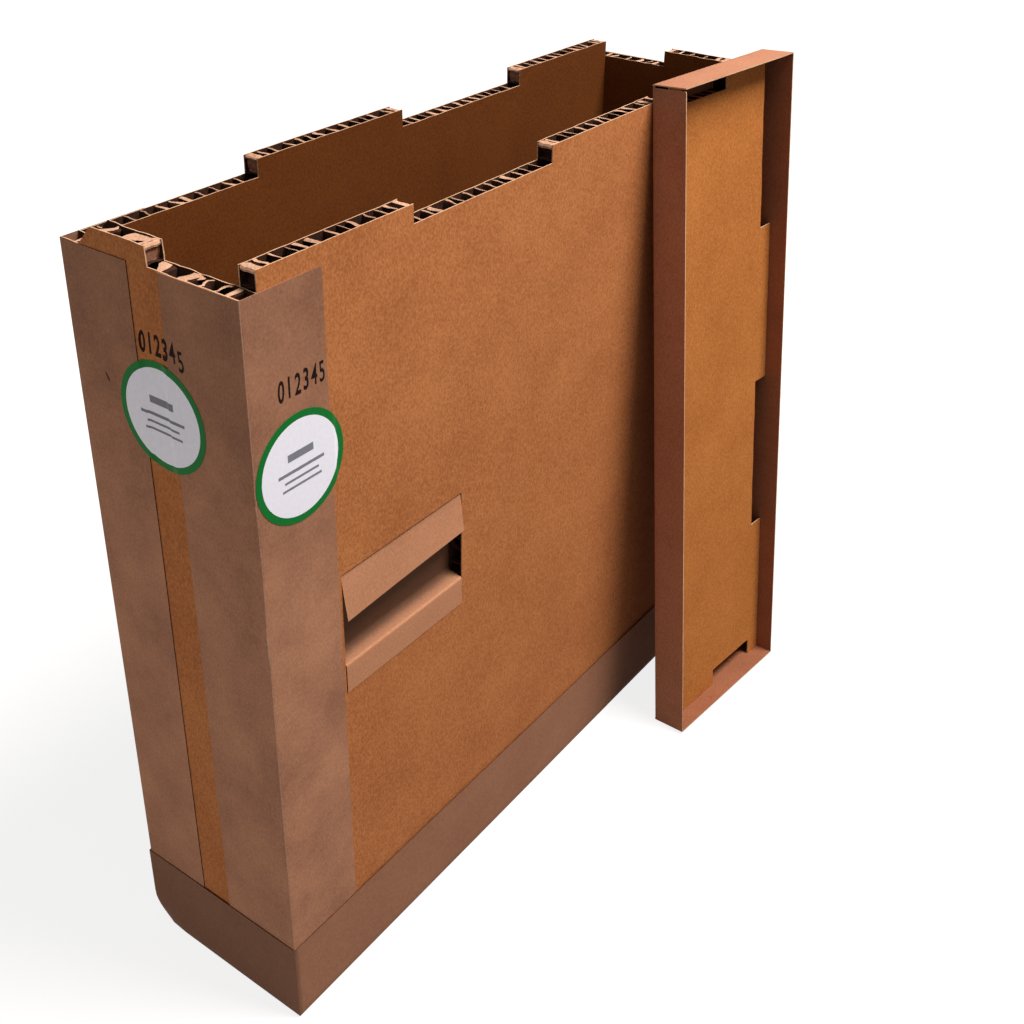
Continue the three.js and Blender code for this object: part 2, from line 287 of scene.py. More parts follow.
def thicken(piece, thickness, offset, edge_slot, back_slot=0):
    """Gives a sheet its thickness, and keeps the edges of the sheet crisp."""
    solid = piece.modifiers.new("thickness", "SOLIDIFY")
    solid.thickness = thickness
    solid.offset = offset
    solid.use_even_offset = False
    solid.material_offset = back_slot
    solid.material_offset_rim = edge_slot
    seen = piece.evaluated_get(bpy.context.evaluated_depsgraph_get())
    mesh = bpy.data.meshes.new_from_object(seen)
    piece.modifiers.clear()
    piece.data = mesh
    mesh.set_sharp_from_angle(angle=CRISP)
    return piece


def mesh_of(name, vertices, faces, smooth=True, kinds=None):
    """A mesh from points and faces. kinds gives the number of each face's finish."""
    mesh = bpy.data.meshes.new(name)
    mesh.from_pydata([tuple(v) for v in vertices], [], faces)
    mesh.update()
    for face, kind in zip(mesh.polygons, kinds or [0] * len(faces)):
        face.use_smooth = smooth
        face.material_index = kind
    return mesh


# %% [markdown]
# The outline of a board, with its steps and its hand hold, is already in the measured
# solid. The triangles of one face are copied, their shared edges are dissolved, and the
# border that is left is the outline. It runs with the board on its left hand.

# %% Outline of a board's face
def face_triangles(node, depth):
    """The flat face of a node that lies at a depth, as points along and up."""
    side = SIDES[node]
    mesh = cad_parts[node].data
    for triangle in mesh.polygons:
        corners = [mesh.vertices[i].co for i in triangle.vertices]
        if all(abs(c.dot(side.inward) - depth) < 0.05 * MM for c in corners):
            yield [(round(c.dot(side.along), 6), round(c.dot(side.up), 6)) for c in corners]


def join_faces(sheet):
    """Dissolves the edges between flat neighbours."""
    bmesh.ops.dissolve_limit(
        sheet, angle_limit=0.001, verts=sheet.verts[:], edges=sheet.edges[:])


def flat_face(node, depth):
    """The same face as a bmesh, flat in X and Y, with as few corners as it can have."""
    sheet = bmesh.new()
    known = {}
    for corners in face_triangles(node, depth):
        area = sum(a[0] * b[1] - b[0] * a[1] for a, b in zip(corners, corners[1:] + corners[:1]))
        ordered = corners if area > 0 else corners[::-1]
        for c in ordered:
            if c not in known:
                known[c] = sheet.verts.new((*c, 0))
        sheet.faces.new([known[c] for c in ordered])
    join_faces(sheet)
    return sheet


def border_edges(sheet):
    """Straight border edges as (start, end), the sheet on the left of the way."""
    edges = []
    for edge in sheet.edges:
        if len(edge.link_loops) != 1:
            continue
        loop = edge.link_loops[0]
        a, b = loop.vert.co, loop.link_loop_next.vert.co
        edges.append((Vector((a.x, a.y)), Vector((b.x, b.y))))
    return edges


front_side, end_side = SIDES["front_wall"], SIDES["near_end_wall"]
front_face = extent("front_wall", front_side.inward)[0]
wall_face = flat_face("front_wall", front_face)
print("front wall:", len(border_edges(wall_face)), "border edges round one face")
wall_face.free()

# %% [markdown]
# A facing is a sheet of paper on each side of the board. It is cut into small squares,
# finer along the rim, so that its edge can wave, as on a crate that has been opened and
# closed many times.

# %% Facings
FACING = 1.1 * MM


def cut_lines(low, high, step, fine_from=math.inf, fine_step=None):
    """Where a stretch is cut, in finer steps from fine_from on."""
    lines = []
    at = low + step
    while at < high - step * 0.3:
        lines.append(at)
        at += fine_step if at > fine_from else step
    return lines


def square_up(sheet, along_lines, up_lines):
    """Cuts a sheet, or a block, across X at the first lines and across Y at the others."""
    for normal, lines in (((1, 0, 0), along_lines), ((0, 1, 0), up_lines)):
        for at in lines:
            bmesh.ops.bisect_plane(
                sheet,
                geom=sheet.verts[:] + sheet.edges[:] + sheet.faces[:],
                dist=1e-6,
                plane_co=Vector(normal) * at,
                plane_no=normal,
            )


def distance_to(edge, p):
    a, b = edge
    way = b - a
    share = max(0.0, min(1.0, (p - a).dot(way) / way.length_squared))
    return (p - (a + way * share)).length


# %% One facing
WAVE_REACH = 14 * MM
LONG_WAVES, SHORT_WAVES, EDGE_WAVES = 28, 75, 90


def facing(name, node, depth, sign, open_edges, wave, settle, lines, face_paper, trim=None):
    """The sheet at a depth. Near its open edges it waves in and out and up and down."""
    side = SIDES[node]
    sheet = flat_face(node, depth)
    if trim:
        trim(sheet)
    square_up(sheet, *lines)
    seed = Vector((3.1 * len(name), depth * 40, 7.7))
    for vert in sheet.verts:
        p = Vector((vert.co.x, vert.co.y))
        near = min(distance_to(edge, p) for edge in open_edges)
        fade = math.exp(-near / WAVE_REACH)
        flat = Vector((p.x, p.y, 0))
        ripple = noise.noise(flat * LONG_WAVES + seed)
        ripple += 0.6 * noise.noise(flat * SHORT_WAVES + seed)
        push = sign * wave * fade * ripple
        drop = 0.6 * wave * fade * noise.noise(flat * EDGE_WAVES + seed)
        vert.co = settle(point(side, p.x, p.y + drop, depth + push))
    mesh = bpy.data.meshes.new(name)
    sheet.to_mesh(mesh)
    sheet.free()
    if side.along.cross(side.up).dot(side.inward) * sign > 0:
        mesh.flip_normals()
    for face in mesh.polygons:
        face.use_smooth = True
    # The back of a facing, seen inside the open cells, takes the painted shade of the cells.
    piece = add_piece(name, mesh, [face_paper, cut_edge, cell_painted_shade], node)
    thicken(piece, FACING, -1, 1, 2)


print("facing sheet:", round(FACING / MM, 1), "mm, waves reach in", round(WAVE_REACH / MM), "mm")

# %% [markdown]
# The core is paper ribbon, folded into cells about as wide as a thumb and glued between
# the facings. Where the board is cut, each cell lies open: we see the thin walls between
# the cells, bent by the knife, and a dark floor where the next cell begins. A strip of
# folded floor and a row of bent walls give that look along any edge.

# %% Open cells along a cut edge
CELL = 15.5 * MM
CORE_PAPER = 0.4 * MM
FLOOR_DEPTH = 17 * MM
LAYERS = 5
# Finishes of the core: pale wall tops, cells in painted shade, and cell ends in plain kraft.
WEB, SHADE_PAINTED_CELL, PAPER_CELL = 0, 1, 2


def strip(rows, faces, vertices):
    """Joins rows of points, each as long as the next, into faces."""
    width = len(rows[0])
    base = len(vertices)
    for row in rows:
        vertices.extend(row)
    for r in range(len(rows) - 1):
        for c in range(width - 1):
            a = base + r * width + c
            faces.append((a, a + 1, a + 1 + width, a + width))


def mark(kinds, faces, kind):
    """Notes the finish of the faces added since the last mark."""
    kinds.extend([kind] * (len(faces) - len(kinds)))


def layers(depths):
    """The depths at which the core is drawn, from one facing to the other."""
    return [depths[0] + (depths[1] - depths[0]) * k / (LAYERS - 1) for k in range(LAYERS)]


def measure(edge, place):
    """An edge's length, and a rule from (along it, in from it, depth of core) to a point."""
    start, end = edge
    way = (end - start).normalized()
    into = Vector((-way.y, way.x))

    def at(run, deep, depth):
        p = start + way * run + into * deep
        return place(p.x, p.y, depth)

    return (end - start).length, at


print("cell:", round(CELL / MM, 1), "mm wide, its floor", round(FLOOR_DEPTH / MM), "mm deep")

# %% Bent walls of the cut cells
STRAY = 0.12


def cells_along(edge, place, depths, bend, crush, shaded_tops, rng, parts):
    """A floor along an edge, and the walls between the cells, each bent its own way."""
    vertices, faces, kinds = parts
    length, at = measure(edge, place)
    floor_depth = min(FLOOR_DEPTH, length * 0.8)
    count = max(1, round(length / CELL))
    ends = [length * i / count for i in range(count + 1)]
    for i in range(1, count):
        ends[i] += rng.uniform(-STRAY, STRAY) * CELL
    across = layers(depths)
    rows = [[at(run, floor_depth + rng.uniform(-1, 1) * MM, d) for d in across] for run in ends]
    strip(rows, faces, vertices)
    mark(kinds, faces, SHADE_PAINTED_CELL)
    for run in ends[1:-1]:
        lean = rng.uniform(-0.5, 0.5) * bend
        curl = rng.uniform(-1, 1) * bend * 0.35
        lip = bend * rng.choice((-1, 1, 1)) * rng.choice((0.4, 0.8, 1.5))
        skew = rng.uniform(-1, 1) * min(1.0, bend / (6 * MM))
        top = rng.uniform(0.1, 0.5) * MM + crush * rng.uniform(0.3, 1.0)
        standing = [
            (0.0, floor_depth),
            (lean * 0.4, floor_depth * 0.6),
            (lean * 0.9, top + 2.0 * MM),
            (lean + lip * 0.2, top + 0.5 * MM),
        ]
        bent = [
            (lean + lip * 0.2, top + 0.5 * MM),
            (lean + lip * 0.6, top),
            (lean + lip, top + abs(lip) * rng.uniform(0.0, 0.25)),
        ]
        # The floor and the standing walls take the painted shade of the cells, and the bent tops
        # too when shaded_tops is set.
        for kind, profile in ((SHADE_PAINTED_CELL, standing), (SHADE_PAINTED_CELL if shaded_tops else WEB, bent)):
            rows = []
            for sway, deep in profile:
                row = []
                for k, d in enumerate(across):
                    share = k / (LAYERS - 1)
                    wave = curl * math.sin(2.2 * math.pi * share) * (1 - deep / floor_depth)
                    reach = 0.75 + 0.5 * share
                    if profile is bent:
                        reach *= max(0.1, 1 + skew * (2 * share - 1))
                    row.append(at(run + sway * reach + wave, deep, d))
                rows.append(row)
            strip(rows, faces, vertices)
            mark(kinds, faces, kind)


# %% Cell in the end of a raised stretch
TAB_FLOOR = 8.5


def tab_end(edge, place, depths, light_end, rng, parts):
    """One dark cell in the end of a raised stretch, with its paper bent over at the top."""
    vertices, faces, kinds = parts
    start, end = edge
    length, at = measure(edge, place)
    upper = length if end.y > start.y else 0.0
    down = -1 if upper else 1
    across = layers(depths)
    rows = []
    for step in range(6):
        run = length * step / 5
        back = (TAB_FLOOR + 2.0 * math.sin(step * 1.9 + start.x * 90)) * MM
        rows.append([at(run, back * (0.5 if light_end else 1), d) for d in across])
    strip(rows, faces, vertices)
    mark(kinds, faces, PAPER_CELL if light_end else SHADE_PAINTED_CELL)
    droop = rng.uniform(3.0, 5.5) * MM
    rows = []
    for share, fall in ((1.0, 0.12), (0.55, 0.08), (0.22, 0.22), (0.1, 0.6), (0.16, 1.0)):
        rows.append([
            at(upper + down * (droop * fall + 0.5 * MM * math.sin(2.6 * k + share * 4)),
               share * TAB_FLOOR * MM, d)
            for k, d in enumerate(across)
        ])
    strip(rows, faces, vertices)
    mark(kinds, faces, WEB)


print("cell in a tab's end:", TAB_FLOOR, "mm deep")

# %% The core along all open edges of a board
LONGEST_TAB_END = 24 * MM


def core(name, node, depths, open_edges, bend, crush, settle, seed, shaded_tops=False, light_end=False):
    """bend is how far the cut walls are bent, and crush how far they are pressed in. shaded_tops
    gives the bent tops of the walls the painted shade of the cells too.
    """
    side = SIDES[node]
    rng = random.Random(seed)
    parts = ([], [], [])

    def place(along, up, deep):
        return settle(point(side, along, up, deep))

    for edge in open_edges:
        short = (edge[1] - edge[0]).length < LONGEST_TAB_END
        if short and abs(edge[0].x - edge[1].x) < MM:
            tab_end(edge, place, depths, light_end, rng, parts)
        else:
            cells_along(edge, place, depths, bend, crush, shaded_tops, rng, parts)
    vertices, faces, kinds = parts
    mesh = mesh_of(name, vertices, faces, False, kinds)
    piece = add_piece(name, mesh, [web_paper, cell_painted_shade, cell_end_paper], node)
    thicken(piece, CORE_PAPER, 0, 0)


print("core paper:", round(CORE_PAPER / MM, 1), "mm")

# %% [markdown]
# The four walls follow. On a wall the open edges are those of the stepped rim and the two
# upright sides of the hand hold. The near end wall has had the hardest life, so its paper
# is bent the most and the top of its raised part is pressed nearly shut.

# %% Open edges of a wall
LEVEL = 0.1 * MM
ABOVE_HOLD = 0.6
BELOW_RIM = 0.7


def rim_edges(sheet, low):
    """Edges at or above the low rim. Uprights that start lower are cut off there."""
    found = []
    for a, b in border_edges(sheet):
        if max(a.y, b.y) < low - MM:
            continue
        if abs(a.x - b.x) < LEVEL:
            a, b = (Vector((v.x, max(v.y, low))) for v in (a, b))
        if (a - b).length >= MM:
            found.append((a, b))
    return found


def hold_sides(sheet, left, right):
    """Upright border edges that lie inside the wall's outline, below its rim."""
    return [
        (a, b) for a, b in border_edges(sheet)
        if abs(a.x - b.x) < LEVEL and left + MM < a.x < right - MM and max(a.y, b.y) < ABOVE_HOLD
    ]


def low_rim(sheet):
    """The height of the lower stretches of a rim: the lowest level border near the top."""
    return min(
        a.y for a, b in border_edges(sheet) if abs(a.y - b.y) < LEVEL and a.y > BELOW_RIM)


print("edges count as level or upright within", round(LEVEL / MM, 1), "mm")

# %% Walls
SQUARE, NARROW_SQUARE = 9 * MM, 5 * MM
BODY_SQUARE, RIM_SQUARE = 40 * MM, 4 * MM
LONG_WALL = 0.3
RIM_BAND = 60 * MM
GLUED_IN = 0.8 * FACING
PRESSED = 2.5 * MM
ROUGH_BEND, ROUGH_CRUSH = 3.4 * MM, 3.0 * MM


def wall(node, bend, wave, crush, seed, crushed=False, light_end=False):
    """crushed presses the raised stretch shut. light_end shows paper in the tabs' ends."""
    side = SIDES[node]
    outer, inner = extent(node, side.inward)
    left, right = extent(node, side.along)
    foot, top = extent(node, side.up)
    sheet = flat_face(node, outer)
    low = low_rim(sheet)
    rim = rim_edges(sheet, low)
    sides = hold_sides(sheet, left, right)
    sheet.free()
    lines = (
        cut_lines(left, right, SQUARE if right - left > LONG_WALL else NARROW_SQUARE),
        cut_lines(foot, top, BODY_SQUARE, low - RIM_BAND, RIM_SQUARE),
    )
    # The outer facing takes the board's own kraft, and the inner one the painted shade of the
    # inside.
    for place, depth, sign, share, face_paper in (
        ("_outer_facing", outer, 1, 0.4, facing_paper),
        ("_inner_facing", inner, -1, 1.0, inside_painted_shade),
    ):
        facing(node + place, node, depth, sign, rim, wave * share, dented, lines, face_paper)
    depths = (outer + GLUED_IN, inner - GLUED_IN)
    flat_top = [e for e in rim if crushed and min(e[0].y, e[1].y) > low + MM]
    torn = [e for e in rim if abs(e[0].x - e[1].x) > MM and abs(e[0].y - e[1].y) > MM]
    rest = [e for e in rim if e not in flat_top and e not in torn]
    core(node + "_core", node, depths, rest, bend, crush, dented, seed, light_end=light_end)
    if flat_top:
        core(node + "_crushed_core", node, depths, flat_top, 1.4 * bend, PRESSED, dented, seed + 1)
    # In the hand holds and on the torn slopes the tops of the cell walls take painted shade as
    # well.
    for part, edges in (("_hold_core", sides), ("_torn_core", torn)):
        if edges:
            core(node + part, node, depths, edges, ROUGH_BEND, ROUGH_CRUSH, dented, seed + 2,
                 shaded_tops=True)
    print(node, "low rim at", round(low, 4), "open edges", len(rim) + len(sides))


wall("front_wall", 3.4 * MM, 0.8 * MM, 0.5 * MM, 11)
wall("back_wall", 3.4 * MM, 0.9 * MM, 0.6 * MM, 12, light_end=True)
wall("near_end_wall", 8.0 * MM, 2.2 * MM, 0.8 * MM, 13, crushed=True, light_end=True)
wall("far_end_wall", 4.5 * MM, 1.4 * MM, 0.8 * MM, 14)

# %% [markdown]
# Kraft sheets are folded round the upright corners and glued. A sheet bent along a path
# and carried up in many small rows can follow every dent of the crate.

# %% Sheets bent along a path
def rounded_path(corners, radii, steps=4):
    """A path through points, with each of its inner corners rounded by an arc."""
    path = [Vector(corners[0])]
    for before, corner, after, radius in zip(corners, corners[1:], corners[2:], radii):
        corner = Vector(corner)
        a = corner + (Vector(before) - corner).normalized() * radius
        b = corner + (Vector(after) - corner).normalized() * radius
        for k in range(steps + 1):
            t = k / steps
            path.append(a * (1 - t) ** 2 + corner * (2 * t * (1 - t)) + b * t ** 2)
    path.append(Vector(corners[-1]))
    return path


def closer(path, step):
    """The same path with long stretches divided."""
    out = [path[0]]
    for a, b in zip(path, path[1:]):
        parts = max(1, round((b - a).length / step))
        out.extend(a + (b - a) * (k / parts) for k in range(1, parts + 1))
    return out


def swept_sheet(name, rows, materials, node, thickness, edge_slot, offset):
    """A sheet through rows of points. offset is the side of them it is thickened to."""
    vertices, faces = [], []
    strip(rows, faces, vertices)
    piece = add_piece(name, mesh_of(name, vertices, faces), materials, node)
    return thicken(piece, thickness, offset, edge_slot)


print("a path round one fold:", len(rounded_path([(0, 0), (1, 0), (1, 1)], [0.1])), "points")

# %% [markdown]
# The folds of the wraps are paler, partly rubbed and partly a painted highlight, and the wrap
# nearest to us has two small creases.
# A crease is drawn as paper that stands off the board on both sides of a line.

# %% Corner wraps
WRAP_SHEET = 0.8 * MM
WRAP_RADIUS = 1.5 * MM
FINE_STEP, PLAIN_STEP = 3 * MM, 7 * MM
FOLD_SLANT = 0.3

CREASES = (
    (Vector((-43.5, 499.6)) * MM, Vector((-104.2, 472.4)) * MM, 1.6 * MM, 3.6 * MM),
    (Vector((-79.3, 627.8)) * MM, Vector((-105.5, 620.4)) * MM, 1.2 * MM, 3.2 * MM),
)
near_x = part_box("corner_wrap_near_front")[0][0]


def creased(p):
    """On the near end, the sheet stands off the board on both sides of two creases."""
    q = dented(p)
    on_end = max(0.0, 1 - (p.x - near_x) / WRAP_RADIUS)
    flat = Vector((p.y, p.z))
    for start, end, height, width in CREASES:
        way = end - start
        share = max(0.0, min(1.0, (flat - start).dot(way) / way.length_squared))
        away = (flat - start - way * share).length
        stand_off = math.exp(-((away / (4 * width)) ** 2)) - math.exp(-((away / width) ** 2))
        q.x -= height * stand_off * (0.3 + 0.7 * share) * on_end
    return q


def corner_wrap(name, edge_material, step, settle):
    """One sheet folded round a corner, its fold paler: rubbed paper and a painted highlight."""
    low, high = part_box(name)
    x_out, x_in = (low[0], high[0]) if low[0] < 0 else (high[0], low[0])
    y_out, y_in = (low[1], high[1]) if low[1] < 0 else (high[1], low[1])
    corners = [(x_in, y_out), (x_out, y_out), (x_out, y_in)]
    path = closer(rounded_path(corners, [WRAP_RADIUS]), step)
    bottom, top = low[2], high[2]
    count = round((top - bottom) / step)
    rows = [
        [settle(Vector((p.x, p.y, bottom + (top - bottom) * r / count))) for p in path]
        for r in range(count + 1)
    ]
    inward = 1 if (x_out < 0) == (y_out < 0) else -1
    piece = swept_sheet(
        name + "_sheet", rows, [wrap_paper, edge_material, wear_and_highlight_paper], name,
        WRAP_SHEET, 1, inward)
    for face in piece.data.polygons:
        # Faces of the fold take the paler paper, partly wear and partly painted highlight.
        if face.material_index == 0 and min(abs(face.normal.x), abs(face.normal.y)) > FOLD_SLANT:
            face.material_index = 2


corner_wrap("corner_wrap_near_front", wrap_paper, FINE_STEP, creased)
# The back wraps' edges are dark: glue and painted shadow along the edge.
corner_wrap("corner_wrap_near_back", glue_and_shadow_edge, PLAIN_STEP, dented)
corner_wrap("corner_wrap_far_front", wrap_paper, PLAIN_STEP, dented)
corner_wrap("corner_wrap_far_back", glue_and_shadow_edge, PLAIN_STEP, dented)
print("corner wraps: 4, creases:", len(CREASES))

# %% [markdown]
# The base and the lid are trays, each folded from one flat blank. The blank is drawn as a
# flat grid with its corners cut away, and a folding rule then turns each point that lies
# past a crease down into a side, round a small arc. At one corner of the lid the two
# sides don't quite meet.

# %% Folding rule of a blank
SMALL = 0.001 * MM
RADIUS = 2 * MM
ARC = RADIUS * math.pi / 2
TRAY_SQUARE = 22 * MM


def fold(flat, half):
    """Where a point of the blank ends up: how far out it is, and how far down a side."""
    size = abs(flat)
    if size <= half - RADIUS:
        out, down = size, 0.0
    elif size <= half - RADIUS + ARC:
        angle = (size - half + RADIUS) / RADIUS
        out, down = half - RADIUS + RADIUS * math.sin(angle), RADIUS * (1 - math.cos(angle))
    else:
        out, down = half, RADIUS + size - (half - RADIUS + ARC)
    return math.copysign(out, flat), down


def join_points(mesh):
    """Joins points that lie together, such as those of two sides that meet at a corner."""
    sheet = bmesh.new()
    sheet.from_mesh(mesh)
    bmesh.ops.remove_doubles(sheet, verts=sheet.verts[:], dist=0.01 * MM)
    sheet.to_mesh(mesh)
    sheet.free()


def spaced(low, high, step):
    parts = max(1, round((high - low) / step))
    return [low + (high - low) * k / parts for k in range(parts + 1)]


def blank_lines(half, depth):
    """Where the blank is cut into squares, from one edge to the other."""
    crease = half - RADIUS
    rim = [crease + ARC * k / 3 for k in (1, 2)]
    rim += spaced(crease + ARC, crease + ARC + depth - RADIUS, TRAY_SQUARE * 0.4)
    return [-v for v in rim[::-1]] + spaced(-crease, crease, TRAY_SQUARE) + rim


print("round a fold the blank takes up", round(ARC / MM, 2), "mm")

# %% Trays folded from a blank
def folded_tray(name, node, side, sizes, gap, sheet, settle, materials):
    """sizes: half length up, half width along, depth, and the middle of its outer face.

    gap is how far the corner at the upper left stands open.
    """
    half_up, half_along, depth, middle = sizes
    us = blank_lines(half_up, depth)
    vs = blank_lines(half_along, depth)
    keep_u = half_up - RADIUS
    keep_v = half_along - RADIUS
    vertices, index, faces = [], {}, []
    for i, u in enumerate(us):
        for j, v in enumerate(vs):
            if abs(u) > keep_u + SMALL and abs(v) > keep_v + SMALL:
                continue
            fold_u, down_u = fold(u, half_up)
            fold_v, down_v = fold(v, half_along)
            down = down_u + down_v
            if down_u > 0 and abs(v) > keep_v - SMALL:
                fold_v = math.copysign(half_along, v)
            if down_v > 0 and abs(u) > keep_u - SMALL:
                is_open = gap > 0 and u > 0 > v
                fold_u = math.copysign(half_up - (sheet + gap if is_open else 0), u)
            index[i, j] = len(vertices)
            p = middle + side.up * fold_u + side.along * fold_v + side.inward * down
            vertices.append(settle(p))
    for i in range(len(us) - 1):
        for j in range(len(vs) - 1):
            ring = [(i, j), (i, j + 1), (i + 1, j + 1), (i + 1, j)]
            if all(key in index for key in ring):
                faces.append([index[key] for key in ring])
    mesh = mesh_of(name, vertices, faces)
    join_points(mesh)
    piece = add_piece(name, mesh, materials, node)
    return thicken(piece, sheet, 1, 1)


print("squares of a tray:", round(TRAY_SQUARE / MM), "mm")

# %% Base tray
BASE_SHEET = 0.8 * MM
base_side = Side(Y, X, UP)
BASE_ROOM = BASE_SHEET + 0.4 * MM
base_sizes = (
    tray_box[1][0] - BASE_ROOM,
    tray_box[1][1] - BASE_ROOM,
    tray_box[1][2] - BASE_SHEET,
    Vector((0, 0, BASE_SHEET)),
)
# The base tray's edges: dark glue and painted shadow.
folded_tray(
    "base_tray_sheet", "base_tray", base_side, base_sizes, 0.0,
    BASE_SHEET, dented, [tray_paper, glue_and_shadow_edge])
print("base tray:", [round(v / MM) for v in base_sizes[:3]])

# %% Lid tray
LID_SHEET = 1.3 * MM
OPEN_CORNER = 2.6 * MM
MOUTH_ROOM = 0.2 * MM
up_low, up_high = extent("lid_tray", LID.up)
left, right = extent("lid_tray", LID.along)
back, mouth = extent("lid_tray", LID.inward)
lid_middle = point(LID, (left + right) / 2, (up_low + up_high) / 2, back)
lid_sizes = ((up_high - up_low) / 2, (right - left) / 2, mouth - back - MOUTH_ROOM, lid_middle)
lid_piece = folded_tray(
    "lid_tray_sheet", "lid_tray", LID, lid_sizes, OPEN_CORNER,
    LID_SHEET, untouched, [lid_paper, cut_edge, lid_painted_shade])
# Faces that look into the lid's hollow take the painted shade of its inside.
lid_hollow = lid_middle + LID.inward * (mouth - back) / 2
for face in lid_piece.data.polygons:
    if face.material_index == 0 and face.normal.dot(lid_hollow - face.center) > 0:
        face.material_index = 2
print("lid tray:", [round(v / MM) for v in lid_sizes[:3]])

# %% [markdown]
# The board in the lid has notches where the crate's raised stretches go in. Its edges
# against the tray are hidden, so only the edges of the notches show their cells. The last
# notch on the right runs out at the top.

# %% Edges of the lid board's notches
outer, inner = extent("lid_board", LID.inward)
left, right = extent("lid_board", LID.along)
foot, top = extent("lid_board", LID.up)


def open_top_notch(sheet):
    """Runs the last notch of the right side on to the top of the board."""
    inside = [a for a, b in border_edges(sheet) if a.x < right - MM and a.y < top - MM]
    corner = max(inside, key=lambda a: a.x + a.y)
    square_up(sheet, [corner.x], [corner.y])
    middles = [(face, face.calc_center_median()) for face in sheet.faces]
    past = [face for face, middle in middles if middle.x > corner.x and middle.y > corner.y]
    bmesh.ops.delete(sheet, geom=past, context="FACES")
    join_faces(sheet)


sheet = flat_face("lid_board", inner)
open_top_notch(sheet)
notch_edges = []
for a, b in border_edges(sheet):
    on_side = abs(a.x - b.x) < LEVEL and (abs(a.x - left) < MM or abs(a.x - right) < MM)
    on_end = abs(a.y - b.y) < LEVEL and (abs(a.y - foot) < MM or abs(a.y - top) < MM)
    if not on_side and not on_end:
        notch_edges.append((a, b))
sheet.free()
print("lid board: notch edges", len(notch_edges))

# %% Lid board
lines = (cut_lines(left, right, SQUARE), cut_lines(foot, top, SQUARE))
facing("lid_board_face", "lid_board", inner, -1, notch_edges, 0.6 * MM, untouched, lines,
       lid_facing, open_top_notch)
facing("lid_board_back", "lid_board", outer, 1, notch_edges, 0.2 * MM, untouched, lines,
       facing_paper, open_top_notch)
core("lid_board_core", "lid_board", (outer + GLUED_IN, inner - GLUED_IN),
     notch_edges, 2.6 * MM, 0.5 * MM, untouched, 21)
print("lid board:", round((right - left) / MM), "x", round((top - foot) / MM), "mm")

# %% [markdown]
# One sheet is folded into each hand hold: a flap, the top, the back, a ledge and a rounded
# lip. The front flap stands off the board a little and its left end has curled away, and
# the flap of the back hold leans in.

# %% Hand holds
HOLD_SHEET = 0.9 * MM
LEDGE_BACK = 394 * MM
LEDGE_FRONT = 390 * MM
FLAP_END = 447 * MM
FRONT_FLAP_LIFT = 3.7 * MM
BACK_FLAP_LIFT = -5 * MM
FLAP_CURL = 1.8 * MM
FLAP_SLANT = 7.5 * MM
HOLD_FOLDS = (2.6 * MM, 1.5 * MM, 4.5 * MM, 1.8 * MM)
HOLD_ROOM = 0.4 * MM
HOLD_ROWS = 30


def hand_hold(node, wall_node, lift):
    """lift is how far the flap's lower edge stands off the wall."""
    side = SIDES[wall_node]
    outer = extent(wall_node, side.inward)[0]
    left, right = extent(node, side.along)
    bottom, top = extent(node, side.up)
    back = extent(node, side.inward)[1]
    corners = [
        (outer - lift, FLAP_END),
        (outer + 1.3 * MM, top - HOLD_ROOM),
        (back, top - HOLD_ROOM),
        (back, LEDGE_BACK),
        (outer + HOLD_ROOM, LEDGE_FRONT),
        (outer + HOLD_ROOM, bottom),
    ]
    path = closer(rounded_path(corners, HOLD_FOLDS, 6), 7 * MM)
    rows = []
    for r in range(HOLD_ROWS + 1):
        share = r / HOLD_ROWS
        run = left + (right - left) * share
        row = []
        for p in path:
            on_flap = p.y > FLAP_END - MM and p.x < outer + 6 * MM
            hang = (top - p.y) / (top - FLAP_END) if on_flap else 0.0
            along = run + FLAP_CURL * math.exp(-14 * share) * hang ** 2
            up = p.y + FLAP_SLANT * (share - 0.6) * hang
            sag = 0.12 * lift * math.sin(math.pi * share) * hang
            row.append(dented(point(side, along, up, p.x + sag)))
        rows.append(row)
    # The hold sheet's edges: dark glue and painted shadow.
    swept_sheet(node + "_sheet", rows, [hold_paper, glue_and_shadow_edge], node, HOLD_SHEET, 1, 1)


hand_hold("front_hand_hold_liner", "front_wall", FRONT_FLAP_LIFT)
hand_hold("back_hand_hold_liner", "back_wall", BACK_FLAP_LIFT)
print("hand holds: 2")

# %% [markdown]
# Only the top of the board on the floor is ever seen, so a divided block is enough.

# %% Floor board
def floor_board():
    low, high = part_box("base_board")
    board = bmesh.new()
    bmesh.ops.create_cube(board, size=1.0)
    for vert in board.verts:
        vert.co = [(a + b) / 2 + (b - a) * c for a, b, c in zip(low, high, vert.co)]
    square_up(board, cut_lines(low[0], high[0], 40 * MM), cut_lines(low[1], high[1], 20 * MM))
    for vert in board.verts:
        vert.co = dented(vert.co)
    mesh = bpy.data.meshes.new("base_board_panel")
    board.to_mesh(mesh)
    board.free()
    add_piece("base_board_panel", mesh, [facing_paper], "base_board")


floor_board()
print("floor board: 1")

# %% [markdown]
# Two round stickers sit across the edges of the sheets under them, so each is a disc of
# rings that follows the small steps. The print on them is plain: a green ring and a few
# grey bars.

# %% Inks and films
INK_GLOSS = 0.06


